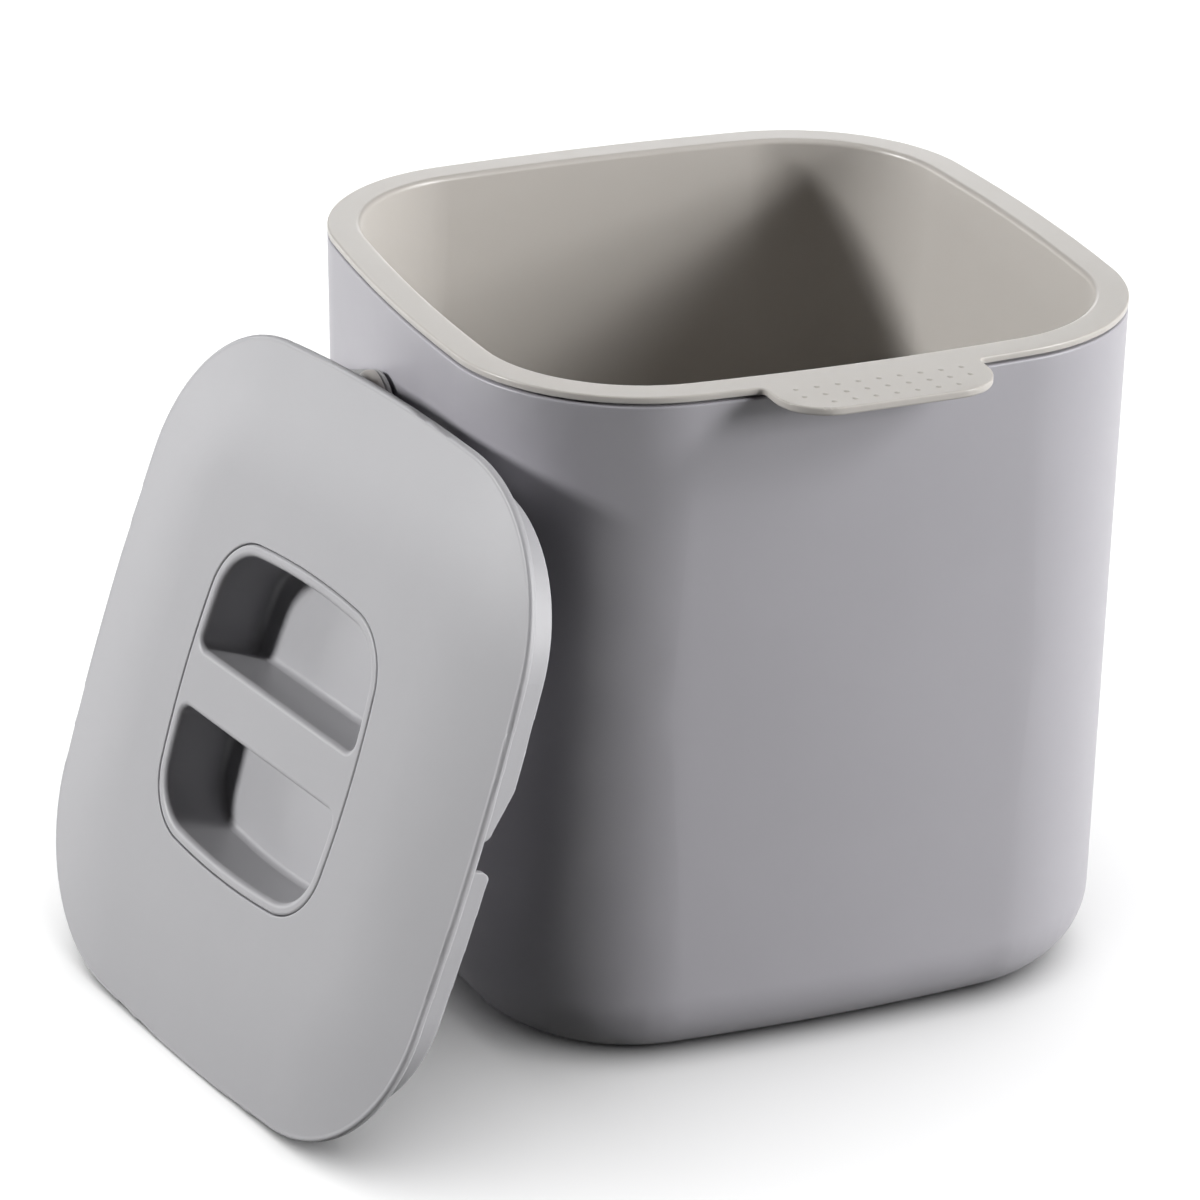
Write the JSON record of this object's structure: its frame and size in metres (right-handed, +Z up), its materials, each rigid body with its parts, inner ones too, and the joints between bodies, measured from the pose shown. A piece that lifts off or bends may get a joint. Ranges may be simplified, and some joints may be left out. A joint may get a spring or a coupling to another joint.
{
  "type": "food waste bin",
  "caption": "Square food waste bin with rounded corners: outer body with a swinging bail, lift-out bucket with a dotted grip tab, and a domed lid with a two-pocket grip that leans beside it.",
  "frame": {"origin": "centre of the outer body's flat base, on the floor", "axes": "+Z up, -Y towards the bucket's grip tab, and -X towards the side that the lid leans on"},
  "size_m": [0.294, 0.2425, 0.2021],
  "materials": {
    "body_plastic": "satin mauve-grey, fine moulded grain",
    "bucket_plastic": "satin warm beige-grey, slightly glossy",
    "bail_plastic": "satin light grey",
    "lid_plastic": "matte light grey, very fine leathery grain"
  },
  "bodies": {
    "bin": {"outer_body": "body_plastic", "left_pivot_pin": "bucket_plastic", "right_pivot_pin": "bucket_plastic"},
    "bucket": {"inner_bucket": "bucket_plastic"},
    "bail": {"bail_handle": "bail_plastic"},
    "lid": {"lid_shell": "lid_plastic", "lid_handle_insert": "lid_plastic"}
  },
  "joints": [
    {"name": "bucket_lift", "type": "slide", "parent": "bin", "child": "bucket", "axis": [0, 0, 1], "range_m": [0, 0.3]},
    {"name": "bail_swing", "type": "hinge", "parent": "bin", "child": "bail", "pos_m": [0, 0, 0.1685], "axis": [1, 0, 0], "range_deg": [0, 155]},
    {"name": "lid_lift", "type": "slide", "parent": "bin", "child": "lid", "axis": [-0.588, -0.12, 0.7999], "range_m": [0, 0.25]}
  ]
}
